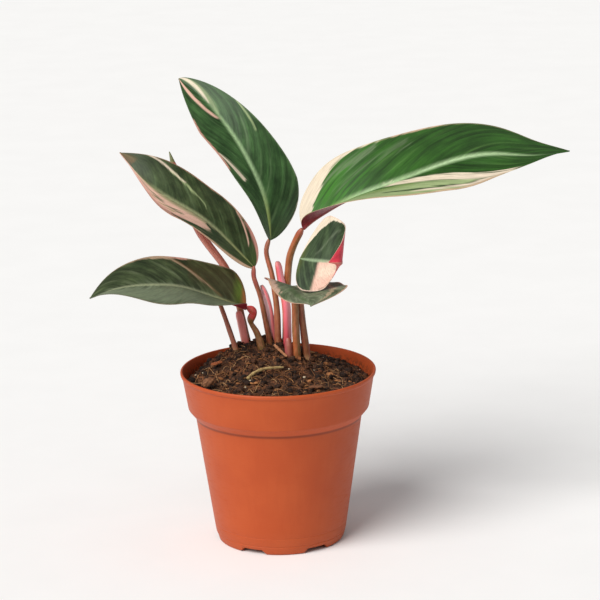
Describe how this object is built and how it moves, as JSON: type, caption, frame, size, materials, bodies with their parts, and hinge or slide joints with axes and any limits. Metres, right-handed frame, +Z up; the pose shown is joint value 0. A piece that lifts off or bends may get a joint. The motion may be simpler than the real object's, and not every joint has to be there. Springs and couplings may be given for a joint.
{
  "type": "potted stromanthe plant",
  "caption": "Young tricolour stromanthe: pointed green leaves streaked cream and pink on slender reddish stalks, in a round tapered terracotta-coloured plastic nursery pot of potting mix.",
  "frame": {"origin": "centre of the pot's foot, on the surface it stands on", "axes": "+Z up; +X to the viewer's right and +Y away from the viewer, seen from the side where the long leaf reaches right"},
  "size_m": [0.2542, 0.1256, 0.2405],
  "materials": {
    "pot": "satin moulded plastic",
    "potting_mix": "loose fibrous grains",
    "leaf_top": "satin, dark green with cream and pink streaks",
    "leaf_right": "satin, dark green with cream and pink streaks",
    "leaf_upper_left": "satin, dark green with cream and pink streaks",
    "leaf_lower_left": "satin, dark green with cream and pink streaks",
    "leaf_curled": "satin, dark green with cream and pink streaks",
    "leaf_front": "satin, dark green with cream and pink streaks",
    "leaf_rear_left": "satin, dark green with cream and pink streaks",
    "leaf_spear": "satin, dark green with cream and pink streaks",
    "stalk_top": "satin",
    "stalk_right": "satin",
    "stalk_upper_left": "satin",
    "stalk_lower_left": "satin",
    "stalk_curled": "satin",
    "stalk_front": "satin",
    "stalk_rear_left": "satin",
    "stalk_spear": "satin",
    "sheath_top": "satin",
    "sheath_upper_left": "satin",
    "sheath_spear": "satin",
    "bract": "satin",
    "root_arc": "dry and matt",
    "dry_stem_bit": "dry and matt",
    "leaf_scrap": "dry and matt",
    "bark_chip_left": "dry and matt",
    "bark_chip_front": "dry and matt"
  },
  "bodies": {
    "root": {"pot": "pot", "potting_mix": "potting_mix", "leaf_top": "leaf_top", "leaf_right": "leaf_right", "leaf_upper_left": "leaf_upper_left", "leaf_lower_left": "leaf_lower_left", "leaf_curled": "leaf_curled", "leaf_front": "leaf_front", "leaf_rear_left": "leaf_rear_left", "leaf_spear": "leaf_spear", "stalk_top": "stalk_top", "stalk_right": "stalk_right", "stalk_upper_left": "stalk_upper_left", "stalk_lower_left": "stalk_lower_left", "stalk_curled": "stalk_curled", "stalk_front": "stalk_front", "stalk_rear_left": "stalk_rear_left", "stalk_spear": "stalk_spear", "sheath_top": "sheath_top", "sheath_upper_left": "sheath_upper_left", "sheath_spear": "sheath_spear", "bract": "bract", "root_arc": "root_arc", "dry_stem_bit": "dry_stem_bit", "leaf_scrap": "leaf_scrap", "bark_chip_left": "bark_chip_left", "bark_chip_front": "bark_chip_front"}
  },
  "joints": []
}
